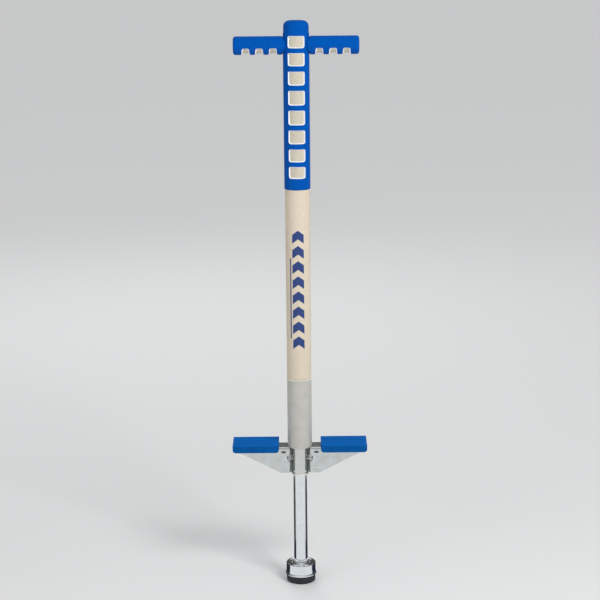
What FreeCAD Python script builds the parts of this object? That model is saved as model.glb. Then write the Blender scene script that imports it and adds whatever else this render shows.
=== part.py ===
import FreeCAD, Part
import os
import re
import Sketcher

# A child's foam-covered pogo stick, in millimetres.
# Origin: centre of the rubber foot where it meets the ground. +Z runs up the stick,
# X along the handlebar and the foot pads, -Y towards the windowed front.

doc = FreeCAD.newDocument("PogoStick")
sheet = doc.addObject("Spreadsheet::Sheet", "Dims")

# Driving dimensions: alias, value, what it is.
DIMENSIONS = [
    ("weld_gap", 0.05, "gap left between pieces that are welded or pressed together"),
    ("foam_gap", 0.1, "gap left between foam pieces"),
    ("stop_gap", 0.3, "gap left at rest between pieces that move apart"),

    ("rubber_radius", 23.5, "rubber foot, outside"),
    ("rubber_height", 12.5, "rubber foot below the ferrule's lip"),
    ("rubber_round", 2.5, "rounded lower edge of the rubber foot"),
    ("tread_depth", 1.5, "depth of the ring grooves in the tread"),
    ("tread_inner", 8.0, "inner radius of the first tread groove"),
    ("tread_width", 3.0, "width of each tread groove"),
    ("tread_step", 7.0, "first groove to second groove"),

    ("ferrule_radius", 24.0, "ferrule's cup, outside"),
    ("ferrule_wall", 2.0, "wall of the ferrule's cup"),
    ("ferrule_cup_top", 31.5, "top of the ferrule's cup"),
    ("ferrule_top_wall", 3.0, "thickness of the cup's top"),
    ("ferrule_lip_radius", 25.3, "flared lower lip"),
    ("ferrule_lip_height", 2.5, "height of the lip"),
    ("ferrule_lip_run", 1.5, "height over which the lip runs back into the cup"),
    ("ferrule_round", 1.5, "rounded shoulder of the cup"),
    ("ferrule_neck_radius", 14.0, "neck round the shaft"),
    ("ferrule_neck_top", 33.5, "top of the neck"),

    ("shaft_radius", 11.1, "sliding shaft, outside (7/8 inch tube)"),
    ("shaft_wall", 1.5, "wall of the sliding shaft"),
    ("shaft_top", 281.0, "top end of the shaft"),
    ("bushing_play", 0.08, "running clearance of the shaft in its bushing"),

    ("tube_radius", 14.3, "frame tube, outside (1 1/8 inch tube)"),
    ("tube_wall", 1.5, "wall of the frame tube"),
    ("tube_bottom", 186.0, "lower end of the frame tube"),
    ("tube_top", 903.0, "upper end of the frame tube"),
    ("bushing_flange_radius", 13.6, "flange under the tube's end"),
    ("bushing_flange", 2.0, "thickness of the flange"),
    ("bushing_top", 255.0, "top of the guide bushing"),
    ("bumper_top", 265.0, "top of the rebound bumper"),
    ("bumper_play", 0.35, "clearance of the bumper round the shaft"),

    ("head_play", 0.35, "clearance of the piston head in the frame tube"),
    ("head_cap", 5.0, "solid top of the piston head above the shaft"),
    ("head_pin_height", 273.0, "height of the cross pin in the piston head"),
    ("head_pin_radius", 2.0, "cross pin in the piston head"),
    ("washer_height", 2.5, "thickness of the thrust washer"),
    ("washer_bore", 5.0, "bore radius of the thrust washer"),

    ("wire_radius", 1.8, "spring wire"),
    ("coil_radius", 10.0, "spring, to the middle of the wire"),
    ("coil_turns", 42.0, "turns of the spring"),
    ("seat_bottom", 570.0, "underside of the spring's upper seat"),
    ("seat_height", 10.0, "height of the upper seat"),
    ("seat_spigot_radius", 7.6, "spigot that centres the spring"),
    ("seat_spigot", 8.0, "length of the spigot"),
    ("seat_pin_radius", 2.5, "pin through tube and upper seat"),

    ("plug_skirt", 10.0, "length of the top plug inside the tube"),
    ("plug_cap", 2.0, "thickness of the top plug's cap"),

    ("bar_height", 877.0, "height of the handlebar's axis"),
    ("bar_radius", 9.5, "handlebar tube, outside"),
    ("bar_wall", 1.5, "wall of the handlebar tube"),
    ("bar_half", 94.0, "half the length of the handlebar tube"),
    ("bar_plug_depth", 5.0, "length of an end plug inside the handlebar"),
    ("bar_plug_cap", 1.0, "thickness of an end plug's cap"),

    ("liner_radius", 11.8, "grip liner, outside"),
    ("grip_radius", 14.3, "grip, outside"),
    ("grip_inner_end", 16.5, "inner end of a grip, from the middle"),
    ("grip_outer_end", 97.5, "outer end of a grip, from the middle"),
    ("grip_round", 4.0, "rounded outer end of a grip"),
    ("grip_window_first", 36.0, "first grip window, from the middle"),
    ("grip_window_pitch", 21.0, "window to window along a grip"),
    ("grip_window_count", 3.0, "windows in each grip"),
    ("grip_window_width", 12.5, "width of a grip window"),
    ("grip_window_drop", 3.7, "top of the grip windows below the bar's axis"),

    ("foam_bottom", 232.1, "lower end of the stem foam"),
    ("foam_sleeved_radius", 17.5, "stem foam inside the guard sleeve"),
    ("foam_bare_radius", 19.65, "stem foam where it is bare"),
    ("foam_covered_radius", 18.6, "stem foam under the blue cover"),
    ("foam_top", 905.2, "upper end of the stem foam"),

    ("cover_radius", 20.5, "stem cover, outside"),
    ("cover_bottom", 653.7, "lower edge of the stem cover"),
    ("cover_top", 915.0, "top of the dome, and of the whole stick"),
    ("cover_dome", 9.0, "rounding of the domed top"),
    ("window_middle", 782.0, "middle of the row of stem windows"),
    ("window_pitch", 30.6, "window to window at the middle of the row"),
    ("window_crowding", 0.143, "how much the windows crowd towards the row's ends"),
    ("window_width", 24.0, "width of a stem window"),
    ("window_height", 22.2, "height of a stem window, were it at the row's middle"),
    ("window_shrink", 1.5, "loss of height from one window to the next, away from the middle"),
    ("window_corner", 3.0, "corner radius of a stem window"),

    ("sleeve_radius", 19.7, "guard sleeve, outside"),
    ("sleeve_bottom", 230.5, "lower end of the guard sleeve"),
    ("sleeve_top", 346.4, "upper end of the guard sleeve"),
    ("sleeve_floor", 1.5, "floor of the sleeve round the tube"),
    ("sleeve_lip", 0.9, "how far the top lip stands out"),
    ("sleeve_lip_height", 1.8, "height of the top lip"),

    ("sheet", 1.5, "sheet thickness of the brackets"),
    ("bracket_half", 15.0, "half the width of a bracket"),
    ("bracket_inner", 16.8, "inner edge of the bracket's side plates"),
    ("bracket_outer", 97.5, "outer end of a bracket"),
    ("bracket_bottom", 190.3, "lower edge of the side plates"),
    ("bracket_top", 232.8, "top of a bracket"),
    ("bracket_foot", 32.0, "where the lower edge turns up"),
    ("bracket_tip", 224.0, "height of the underside at the outer end"),
    ("flange_reach_x", 5.3, "how far a flange bends in towards the tube, along X"),
    ("flange_reach_y", 9.5, "how far a flange bends in towards the tube, along Y"),
    ("bracket_slot_x", 26.5, "middle of the slots, from the stick's axis"),
    ("bracket_slot_low", 198.5, "height of the lower slot"),
    ("bracket_slot_high", 225.0, "height of the upper slot"),
    ("bracket_slot_length", 8.0, "length of a slot"),
    ("bracket_slot_width", 3.3, "width of a slot"),
    ("notch_low", 209.0, "lower end of the weld notch"),
    ("notch_high", 218.4, "upper end of the weld notch"),
    ("notch_depth", 5.0, "depth of the weld notch in the plate"),

    ("pad_inner", 34.0, "inner end of a foot pad"),
    ("pad_outer", 108.5, "outer end of a foot pad"),
    ("pad_half", 26.5, "half the width of a foot pad"),
    ("pad_bottom", 227.4, "lower edge of a pad's skirt"),
    ("pad_top", 239.0, "top of a foot pad"),
    ("pad_wall", 2.5, "skirt thickness"),
    ("pad_corner", 5.0, "rounded lower corners of the skirt"),
    ("pad_plan_corner", 3.0, "rounded upright corners"),
    ("pad_groove", 0.8, "depth of the tread grooves"),
    ("pad_groove_width", 2.0, "width of a tread groove"),
    ("pad_groove_first", 16.5, "outermost tread groove, from the middle"),
    ("pad_groove_pitch", 11.0, "groove to groove"),
    ("pad_groove_count", 4.0, "tread grooves on each pad"),
    ("screw_first", 50.0, "inner pad screw, from the stick's axis"),
    ("screw_pitch", 32.0, "pad screw to pad screw"),
    ("screw_radius", 2.0, "shank of a pad screw"),
    ("screw_length", 5.0, "length of a screw above its head"),
    ("screw_head_radius", 4.0, "head of a pad screw"),
    ("screw_head", 2.0, "height of a screw's head"),

    ("pin_short", 0.5, "how much shorter a cross pin is than what it goes through"),
    ("bar_hole_play", 0.3, "clearance of the foam's holes round the handlebar tube"),
    ("bend_inset", 0.9, "hollow's corner at a flange's bend, out from the plate's inner edge"),
    ("edge_inset_x", 0.15, "hollow's corner at a flange's edge, in from the edge along X"),
    ("edge_inset_y", 3.3, "hollow's corner at a flange's edge, in from the edge along Y"),
]
for row, (alias, value, note) in enumerate(DIMENSIONS, 1):
    sheet.set("A%d" % row, alias)
    sheet.set("B%d" % row, str(value))
    sheet.set("C%d" % row, note)
    sheet.setAlias("B%d" % row, alias)
doc.recompute()
ALIASES = {alias for alias, value, note in DIMENSIONS}
parts = []
WINDOW_COUNT = 8  # windows up the stem
NEAR = 0.01  # millimetres within which an edge lies where it is looked for
LEAST_CHANGE = 0.1  # cubic millimetres that a cut or a row changes at the least


# Tools: formulas are written with the sheet's aliases alone, such as "tube_radius - tube_wall".

def formula(text):
    """The same formula with every alias given its sheet's name."""
    return re.sub(r"[a-z_]+", lambda word: "Dims." + word[0] if word[0] in ALIASES else word[0], text)


def size(text):
    return float(sheet.evalExpression(formula(text)))


def bind(thing, path, text):
    thing.setExpression(path, formula(text))


def new_body(label):
    body = doc.addObject("PartDesign::Body", label)
    body.Label = label
    parts.append(body)
    return body


def new_sketch(body, plane, height="0"):
    """A sketch on one of the body's own origin planes, moved along its normal by height."""
    sketch = body.newObject("Sketcher::SketchObject", "Sketch")
    origin_plane = next(f for f in body.Origin.OriginFeatures if f.Role == plane + "_Plane")
    sketch.AttachmentSupport = [(origin_plane, "")]
    sketch.MapMode = "FlatFace"
    if height != "0":
        bind(sketch, "AttachmentOffset.Base.z", height)
    return sketch


def place(sketch, geometry, point, across, along):
    """Fix one point of the geometry at (across, along), each a formula or 0 on an axis."""
    for value, kind, axis in ((across, "DistanceX", -2), (along, "DistanceY", -1)):
        if value == "0":
            sketch.addConstraint(Sketcher.Constraint("PointOnObject", geometry, point, axis))
            continue
        number = sketch.addConstraint(Sketcher.Constraint(kind, -1, 1, geometry, point, size(value)))
        bind(sketch, "Constraints[%d]" % number, value)


def draw_outline(sketch, corners):
    """A closed outline of straight lines through corners given as pairs of formulas."""
    points = [FreeCAD.Vector(size(x), size(y), 0) for x, y in corners]
    count = len(points)
    lines = [sketch.addGeometry(Part.LineSegment(points[i], points[(i + 1) % count])) for i in range(count)]
    for i in range(count):
        sketch.addConstraint(Sketcher.Constraint("Coincident", lines[i], 2, lines[(i + 1) % count], 1))
    for line, (x, y) in zip(lines, corners):
        place(sketch, line, 1, x, y)


def draw_circle(sketch, x, y, radius):
    centre = FreeCAD.Vector(size(x), size(y), 0)
    circle = sketch.addGeometry(Part.Circle(centre, FreeCAD.Vector(0, 0, 1), size(radius)))
    number = sketch.addConstraint(Sketcher.Constraint("Radius", circle, size(radius)))
    bind(sketch, "Constraints[%d]" % number, radius)
    place(sketch, circle, 3, x, y)


def draw_box(sketch, x_low, x_high, y_low, y_high):
    draw_outline(sketch, [(x_low, y_low), (x_high, y_low), (x_high, y_high), (x_low, y_high)])


def turn(body, sketch, axis):
    """Revolve the sketch once round its own V_Axis or H_Axis."""
    revolution = body.newObject("PartDesign::Revolution", "Turned")
    revolution.Profile = sketch
    revolution.ReferenceAxis = (sketch, [axis])
    revolution.Angle = 360
    doc.recompute()
    return revolution


def pad(body, sketch, length, symmetric=False):
    feature = body.newObject("PartDesign::Pad", "Pad")
    feature.Profile = sketch
    feature.Midplane = symmetric
    bind(feature, "Length", length)
    doc.recompute()
    return feature


def pocket(body, sketch, length=None, symmetric=False, upward=False):
    """Cut the sketch into the body, through everything unless a length is given."""
    before = body.Shape.Volume
    feature = body.newObject("PartDesign::Pocket", "Pocket")
    feature.Profile = sketch
    feature.Midplane = symmetric
    feature.Reversed = upward
    if length:
        bind(feature, "Length", length)
    else:
        feature.Type = "ThroughAll"
    doc.recompute()
    assert body.Shape.Volume < before - LEAST_CHANGE, body.Label + ": a pocket cut nothing"
    return feature


def repeat(body, feature, sketch, axis, pitch, count):
    """Repeat a feature along its sketch's axis, count times at the pitch."""
    before = body.Shape.Volume
    pattern = body.newObject("PartDesign::LinearPattern", "Row")
    pattern.Originals = [feature]
    pattern.Direction = (sketch, [axis])
    bind(pattern, "Length", "%s * (%s - 1)" % (pitch, count))
    bind(pattern, "Occurrences", count)
    body.Tip = pattern
    doc.recompute()
    assert abs(body.Shape.Volume - before) > LEAST_CHANGE, body.Label + ": a row changed nothing"
    return pattern


def round_edges(body, choose, radius):
    """Fillet the edges of the body's present shape that choose() picks."""
    base = body.Tip
    names = ["Edge%d" % number for number, edge in enumerate(base.Shape.Edges, 1) if choose(edge)]
    assert names, body.Label + ": no edge to round"
    fillet = body.newObject("PartDesign::Fillet", "Rounded")
    fillet.Base = (base, names)
    bind(fillet, "Radius", radius)
    doc.recompute()


def circle_at(radius, height):
    """Chooses the circular edge round Z with this radius at this height."""
    def choose(edge):
        curve = edge.Curve
        return (isinstance(curve, Part.Circle) and abs(curve.Radius - size(radius)) < NEAR
                and abs(curve.Center.z - size(height)) < NEAR)
    return choose


def turned_part(label, corners):
    """A piece turned about the stick's axis from corners given as (radius, height)."""
    body = new_body(label)
    sketch = new_sketch(body, "XZ")
    draw_outline(sketch, corners)
    turn(body, sketch, "V_Axis")
    return body


def ring_corners(inner, outer, low, high):
    return [(inner, low), (outer, low), (outer, high), (inner, high)]


def bar_part(label, side, corners):
    """A piece turned about the handlebar's axis, from (distance out, radius) on one side."""
    body = new_body(label)
    sketch = new_sketch(body, "XZ")
    draw_outline(sketch, [("%d * (%s)" % (side, out), radius) for out, radius in corners])
    turn(body, sketch, "H_Axis")
    bind(body, "Placement.Base.z", "bar_height")
    return body


def cross_hole(body, plane, height, radius):
    """A hole right across the stick: along Y from the XZ plane, along X from the YZ plane."""
    sketch = new_sketch(body, plane)
    draw_circle(sketch, "0", height, radius)
    pocket(body, sketch, symmetric=True)


def cross_pin(label, height, radius, length):
    body = new_body(label)
    sketch = new_sketch(body, "XZ")
    draw_circle(sketch, "0", height, radius)
    pad(body, sketch, length, symmetric=True)


# The foot.

def make_foot_rubber():
    plug_radius = "ferrule_radius - ferrule_wall - foam_gap"
    plug_top = "ferrule_cup_top - ferrule_top_wall - foam_gap"
    shoulder = "rubber_height - foam_gap"
    first, second = "tread_inner", "tread_inner + tread_step"
    body = turned_part("foot_rubber", [
        ("0", "0"), (first, "0"), (first, "tread_depth"),
        (first + " + tread_width", "tread_depth"), (first + " + tread_width", "0"),
        (second, "0"), (second, "tread_depth"),
        (second + " + tread_width", "tread_depth"), (second + " + tread_width", "0"),
        ("rubber_radius", "0"), ("rubber_radius", shoulder), (plug_radius, shoulder),
        (plug_radius, plug_top), ("0", plug_top)])
    round_edges(body, circle_at("rubber_radius", "0"), "rubber_round")


def make_foot_ferrule():
    bore = "shaft_radius + weld_gap"
    cup_radius = "ferrule_radius - ferrule_wall"
    cup_ceiling = "ferrule_cup_top - ferrule_top_wall"
    lip_top = "rubber_height + ferrule_lip_height"
    body = turned_part("foot_ferrule", [
        (cup_radius, "rubber_height"), ("ferrule_lip_radius", "rubber_height"),
        ("ferrule_lip_radius", lip_top), ("ferrule_radius", lip_top + " + ferrule_lip_run"),
        ("ferrule_radius", "ferrule_cup_top"), ("ferrule_neck_radius", "ferrule_cup_top"),
        ("ferrule_neck_radius", "ferrule_neck_top"), (bore, "ferrule_neck_top"),
        (bore, cup_ceiling), (cup_radius, cup_ceiling)])
    round_edges(body, circle_at("ferrule_radius", "ferrule_cup_top"), "ferrule_round")


# The sliding piston.

def make_piston_shaft():
    shaft_bottom = "ferrule_cup_top - ferrule_top_wall"
    body = turned_part("piston_shaft", ring_corners(
        "shaft_radius - shaft_wall", "shaft_radius", shaft_bottom, "shaft_top"))
    cross_hole(body, "XZ", "head_pin_height", "head_pin_radius + weld_gap")


def make_piston_head():
    outside = "tube_radius - tube_wall - head_play"
    bore = "shaft_radius + weld_gap"
    body = turned_part("piston_head", [
        (bore, "bumper_top + stop_gap"), (outside, "bumper_top + stop_gap"),
        (outside, "shaft_top + head_cap"), ("0", "shaft_top + head_cap"),
        ("0", "shaft_top"), (bore, "shaft_top")])
    cross_hole(body, "XZ", "head_pin_height", "head_pin_radius + weld_gap")


def make_piston_pin():
    cross_pin("piston_pin", "head_pin_height", "head_pin_radius",
              "2 * (tube_radius - tube_wall - head_play) - pin_short")


WASHER_BOTTOM = "shaft_top + head_cap + stop_gap"
SPRING_BOTTOM = WASHER_BOTTOM + " + washer_height + foam_gap"


def make_thrust_washer():
    turned_part("thrust_washer", ring_corners(
        "washer_bore", "tube_radius - tube_wall - head_play",
        WASHER_BOTTOM, WASHER_BOTTOM + " + washer_height"))


def make_main_spring():
    body = new_body("main_spring")
    sketch = new_sketch(body, "XZ")
    draw_circle(sketch, "coil_radius", SPRING_BOTTOM + " + wire_radius", "wire_radius")
    coil = body.newObject("PartDesign::AdditiveHelix", "Coil")
    coil.Profile = sketch
    coil.ReferenceAxis = (sketch, ["V_Axis"])
    coil.Mode = "height-turns-angle"
    bind(coil, "Height", "seat_bottom - foam_gap - 2 * wire_radius - (%s)" % SPRING_BOTTOM)
    bind(coil, "Turns", "coil_turns")
    doc.recompute()


# The frame's tubes and what is inside them.

def make_frame_tube():
    body = turned_part("frame_tube", ring_corners(
        "tube_radius - tube_wall", "tube_radius", "tube_bottom", "tube_top"))
    cross_hole(body, "YZ", "bar_height", "bar_radius + weld_gap")
    cross_hole(body, "XZ", "seat_bottom + seat_height / 2", "seat_pin_radius + weld_gap")


def make_lower_bushing():
    turned_part("lower_bushing", [
        ("shaft_radius + bushing_play", "tube_bottom - bushing_flange"),
        ("bushing_flange_radius", "tube_bottom - bushing_flange"),
        ("bushing_flange_radius", "tube_bottom"),
        ("tube_radius - tube_wall - weld_gap", "tube_bottom"),
        ("tube_radius - tube_wall - weld_gap", "bushing_top"),
        ("shaft_radius + bushing_play", "bushing_top")])


def make_rebound_bumper():
    turned_part("rebound_bumper", ring_corners(
        "shaft_radius + bumper_play", "tube_radius - tube_wall - foam_gap",
        "bushing_top", "bumper_top"))


def make_spring_top_seat():
    outside = "tube_radius - tube_wall - weld_gap"
    body = turned_part("spring_top_seat", [
        ("0", "seat_bottom - seat_spigot"), ("seat_spigot_radius", "seat_bottom - seat_spigot"),
        ("seat_spigot_radius", "seat_bottom"), (outside, "seat_bottom"),
        (outside, "seat_bottom + seat_height"), ("0", "seat_bottom + seat_height")])
    cross_hole(body, "XZ", "seat_bottom + seat_height / 2", "seat_pin_radius + weld_gap")


def make_spring_seat_pin():
    cross_pin("spring_seat_pin", "seat_bottom + seat_height / 2", "seat_pin_radius",
              "2 * tube_radius - pin_short")


def make_tube_top_plug():
    skirt_radius = "tube_radius - tube_wall - weld_gap"
    turned_part("tube_top_plug", [
        ("0", "tube_top - plug_skirt"), (skirt_radius, "tube_top - plug_skirt"),
        (skirt_radius, "tube_top"), ("tube_radius", "tube_top"),
        ("tube_radius", "tube_top + plug_cap"), ("0", "tube_top + plug_cap")])


# The handlebar and its grips, each modelled about its own axis and lifted to the bar's height.

def make_handlebar_tube():
    body = new_body("handlebar_tube")
    sketch = new_sketch(body, "YZ")
    draw_circle(sketch, "0", "0", "bar_radius")
    draw_circle(sketch, "0", "0", "bar_radius - bar_wall")
    pad(body, sketch, "2 * bar_half", symmetric=True)
    bind(body, "Placement.Base.z", "bar_height")


def make_handlebar_plug(name, side):
    skirt = "bar_radius - bar_wall - weld_gap"
    bar_part(name + "_handlebar_plug", side, [
        ("bar_half - bar_plug_depth", "0"), ("bar_half - bar_plug_depth", skirt),
        ("bar_half", skirt), ("bar_half", "bar_radius"),
        ("bar_half + bar_plug_cap", "bar_radius"), ("bar_half + bar_plug_cap", "0")])


def saddle(body):
    """Shape the inner end to the round of the stem cover."""
    sketch = new_sketch(body, "XY")
    draw_circle(sketch, "0", "0", "cover_radius + foam_gap")
    pocket(body, sketch, symmetric=True)


def make_grip_liner(name, side):
    body = bar_part(name + "_grip_liner", side, [
        ("grip_inner_end", "bar_radius + foam_gap"), ("grip_inner_end", "liner_radius"),
        ("bar_half + bar_plug_cap - foam_gap", "liner_radius"),
        ("bar_half + bar_plug_cap - foam_gap", "bar_radius + foam_gap")])
    saddle(body)


def make_grip(name, side):
    pocket_end = "bar_half + bar_plug_cap + foam_gap"
    body = bar_part(name + "_grip", side, [
        ("grip_inner_end", "liner_radius + foam_gap"), ("grip_inner_end", "grip_radius"),
        ("grip_outer_end", "grip_radius"), ("grip_outer_end", "0"),
        (pocket_end, "0"), (pocket_end, "liner_radius + foam_gap")])
    end = side * size("grip_outer_end")
    round_edges(body, lambda edge: isinstance(edge.Curve, Part.Circle)
                and abs(edge.CenterOfMass.x - end) < NEAR
                and abs(edge.Curve.Radius - size("grip_radius")) < NEAR, "grip_round")
    saddle(body)
    windows = new_sketch(body, "XY", "-grip_window_drop")
    middle = "%d * grip_window_first" % side
    draw_box(windows, middle + " - grip_window_width / 2", middle + " + grip_window_width / 2",
             "-2 * grip_radius", "2 * grip_radius")
    row = pocket(body, windows)
    pattern = repeat(body, row, windows, "H_Axis", "grip_window_pitch", "grip_window_count")
    pattern.Reversed = side < 0
    doc.recompute()


# Foam, cover and sleeve on the stem.

def make_stem_foam():
    inside = "tube_radius + foam_gap"
    body = turned_part("stem_foam", [
        (inside, "foam_bottom"), ("foam_sleeved_radius", "foam_bottom"),
        ("foam_sleeved_radius", "sleeve_top + foam_gap"), ("foam_bare_radius", "sleeve_top + foam_gap"),
        ("foam_bare_radius", "cover_bottom - foam_gap"), ("foam_covered_radius", "cover_bottom - foam_gap"),
        ("foam_covered_radius", "foam_top"), (inside, "foam_top")])
    cross_hole(body, "YZ", "bar_height", "bar_radius + bar_hole_play")


def make_stem_cover():
    inside = "foam_covered_radius + foam_gap"
    ceiling = "foam_top + foam_gap"
    body = turned_part("stem_cover", [
        (inside, "cover_bottom"), ("cover_radius", "cover_bottom"), ("cover_radius", "cover_top"),
        ("0", "cover_top"), ("0", ceiling), (inside, ceiling)])
    round_edges(body, circle_at("cover_radius", "cover_top"), "cover_dome")
    cross_hole(body, "YZ", "bar_height", "bar_radius + bar_hole_play")
    windows = new_sketch(body, "XZ")
    corner = "window_corner"
    left, right = "-window_width / 2", "window_width / 2"
    for number in range(WINDOW_COUNT):
        step = number - (WINDOW_COUNT - 1) / 2
        middle = "window_middle + (%g) * window_pitch - (%g) * window_crowding" % (step, step ** 3)
        half_height = "(window_height - %g * window_shrink) / 2" % abs(step)
        low, high = middle + " - " + half_height, middle + " + " + half_height
        draw_outline(windows, [
            (left + " + " + corner, low), (right + " - " + corner, low),
            (right, low + " + " + corner), (right, high + " - " + corner),
            (right + " - " + corner, high), (left + " + " + corner, high),
            (left, high + " - " + corner), (left, low + " + " + corner)])
    pocket(body, windows, symmetric=True)


def make_guard_sleeve():
    foam_side = "foam_sleeved_radius + foam_gap"
    tube_side = "tube_radius + foam_gap"
    lip_low = "sleeve_top - sleeve_lip_height"
    turned_part("guard_sleeve", [
        (tube_side, "sleeve_bottom"), ("sleeve_radius", "sleeve_bottom"),
        ("sleeve_radius", lip_low), ("sleeve_radius + sleeve_lip", lip_low),
        ("sleeve_radius + sleeve_lip", "sleeve_top"), (foam_side, "sleeve_top"),
        (foam_side, "sleeve_bottom + sleeve_floor"), (tube_side, "sleeve_bottom + sleeve_floor")])


# The foot brackets, pads and screws, one set on each side.

def screw_place(side, number):
    return "%d * (screw_first + %d * screw_pitch)" % (side, number)


def make_bracket(name, side):
    def out(text):
        return "%d * (%s)" % (side, text)

    body = new_body(name + "_bracket")
    plan = new_sketch(body, "XY", "bracket_bottom")
    flange_x, flange_y = "bracket_inner - flange_reach_x", "bracket_half - flange_reach_y"
    draw_outline(plan, [
        (out("bracket_outer"), "-bracket_half"), (out("bracket_outer"), "bracket_half"),
        (out("bracket_inner"), "bracket_half"), (out(flange_x), flange_y),
        (out(flange_x), "-(%s)" % flange_y), (out("bracket_inner"), "-bracket_half")])
    pad(body, plan, "bracket_top - bracket_bottom")

    inside = new_sketch(body, "XY", "bracket_bottom")
    bend = "bracket_inner + bend_inset"
    wall_y = "bracket_half - sheet"
    reach_x, reach_y = flange_x + " - edge_inset_x", flange_y + " - edge_inset_y"
    draw_outline(inside, [
        (out("bracket_outer - sheet"), "-(%s)" % wall_y), (out("bracket_outer - sheet"), wall_y),
        (out(bend), wall_y), (out(reach_x), reach_y),
        (out(reach_x), "-(%s)" % reach_y), (out(bend), "-(%s)" % wall_y)])
    pocket(body, inside, "bracket_top - bracket_bottom - sheet", upward=True)

    tube = new_sketch(body, "XY")
    draw_circle(tube, "0", "0", "tube_radius + weld_gap")
    pocket(body, tube, upward=True)

    below_sleeve = new_sketch(body, "XY", "sleeve_bottom - stop_gap")
    draw_circle(below_sleeve, "0", "0", "sleeve_radius + stop_gap")
    pocket(body, below_sleeve, upward=True)

    underside = new_sketch(body, "XZ")
    draw_outline(underside, [
        (out("bracket_foot"), "bracket_bottom"), (out("bracket_foot"), "bracket_bottom - sheet"),
        (out("bracket_outer + sheet"), "bracket_bottom - sheet"),
        (out("bracket_outer + sheet"), "bracket_tip"), (out("bracket_outer"), "bracket_tip")])
    pocket(body, underside, symmetric=True)

    openings = new_sketch(body, "XZ")
    slot_x_low = out("bracket_slot_x - bracket_slot_length / 2")
    slot_x_high = out("bracket_slot_x + bracket_slot_length / 2")
    for middle in ("bracket_slot_low", "bracket_slot_high"):
        draw_box(openings, slot_x_low, slot_x_high,
                 middle + " - bracket_slot_width / 2", middle + " + bracket_slot_width / 2")
    draw_box(openings, out("tube_radius / 2"), out("bracket_inner + notch_depth"),
             "notch_low", "notch_high")
    pocket(body, openings, symmetric=True)

    screw_holes = new_sketch(body, "XY")
    for number in range(2):
        draw_circle(screw_holes, screw_place(side, number), "0", "screw_radius + foam_gap")
    pocket(body, screw_holes, upward=True)


def make_pad(name, side):
    def out(text):
        return "%d * (%s)" % (side, text)

    body = new_body(name + "_pad")
    front = new_sketch(body, "XZ")
    draw_box(front, out("pad_inner"), out("pad_outer"), "pad_bottom", "pad_top")
    pad(body, front, "2 * pad_half", symmetric=True)
    low = size("pad_bottom")
    round_edges(body, lambda edge: abs(edge.BoundBox.YLength - 2 * size("pad_half")) < NEAR
                and abs(edge.CenterOfMass.z - low) < NEAR, "pad_corner")
    round_edges(body, lambda edge: isinstance(edge.Curve, Part.Line) and edge.BoundBox.ZLength > 1.0,
                "pad_plan_corner")

    hollow_depth = "bracket_top + foam_gap - pad_bottom"
    hollow = new_sketch(body, "XY", "pad_bottom")
    draw_box(hollow, out("pad_inner + pad_wall"), out("pad_outer - pad_wall"),
             "-(pad_half - pad_wall)", "pad_half - pad_wall")
    pocket(body, hollow, hollow_depth, upward=True)
    mouth = new_sketch(body, "XY", "pad_bottom")
    draw_box(mouth, out("pad_inner - pad_wall"), out("pad_inner + 2 * pad_wall"),
             "-(bracket_half + stop_gap)", "bracket_half + stop_gap")
    pocket(body, mouth, hollow_depth, upward=True)

    screw_holes = new_sketch(body, "XY", "bracket_top")
    for number in range(2):
        draw_circle(screw_holes, screw_place(side, number), "0", "screw_radius + weld_gap")
    pocket(body, screw_holes, "screw_length - sheet", upward=True)

    grooves = new_sketch(body, "XY", "pad_top")
    draw_box(grooves, out("pad_inner + 2 * pad_wall"), out("pad_outer - 2 * pad_wall"),
             "-pad_groove_first - pad_groove_width / 2", "-pad_groove_first + pad_groove_width / 2")
    first = pocket(body, grooves, "pad_groove")
    repeat(body, first, grooves, "V_Axis", "pad_groove_pitch", "pad_groove_count")


def make_pad_screws(name, side):
    """Two pan-head screws, driven up from below the bracket into the pad."""
    screws = []
    underside = "bracket_top - sheet"
    for number in range(2):
        head = doc.addObject("Part::Cylinder", "ScrewHead")
        shank = doc.addObject("Part::Cylinder", "ScrewShank")
        bind(head, "Radius", "screw_head_radius")
        bind(head, "Height", "screw_head")
        bind(shank, "Radius", "screw_radius")
        bind(shank, "Height", "screw_head + screw_length - foam_gap")
        for piece in (head, shank):
            bind(piece, "Placement.Base.x", screw_place(side, number))
            bind(piece, "Placement.Base.z", underside + " - screw_head")
        screw = doc.addObject("Part::Fuse", "Screw")
        screw.Base = head
        screw.Tool = shank
        screws.append(screw)
    group = doc.addObject("Part::Compound", name + "_pad_screws")
    group.Label = name + "_pad_screws"
    group.Links = screws
    parts.append(group)


make_foot_rubber()
make_foot_ferrule()
make_piston_shaft()
make_piston_head()
make_piston_pin()
make_thrust_washer()
make_main_spring()
make_frame_tube()
make_lower_bushing()
make_rebound_bumper()
make_spring_top_seat()
make_spring_seat_pin()
make_tube_top_plug()
make_handlebar_tube()
make_stem_foam()
make_stem_cover()
make_guard_sleeve()
for side_name, side_sign in (("left", -1), ("right", 1)):
    make_handlebar_plug(side_name, side_sign)
    make_grip_liner(side_name, side_sign)
    make_grip(side_name, side_sign)
    make_bracket(side_name, side_sign)
    make_pad(side_name, side_sign)
    make_pad_screws(side_name, side_sign)

doc.recompute()
for item in doc.Objects:
    assert not {"Invalid", "Error"} & set(item.State), item.Label + " failed to build"
for part in parts:
    assert not part.Shape.isNull() and part.Shape.isValid(), part.Label + " has no valid shape"

os.makedirs("parts", exist_ok=True)
for part in parts:
    part.Shape.exportStep("parts/%s.step" % part.Label)
print("wrote %d parts" % len(parts))
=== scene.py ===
from math import cos, pi, radians, sin, sqrt, tan

import bmesh
import bpy
from mathutils import Matrix, Vector


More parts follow.
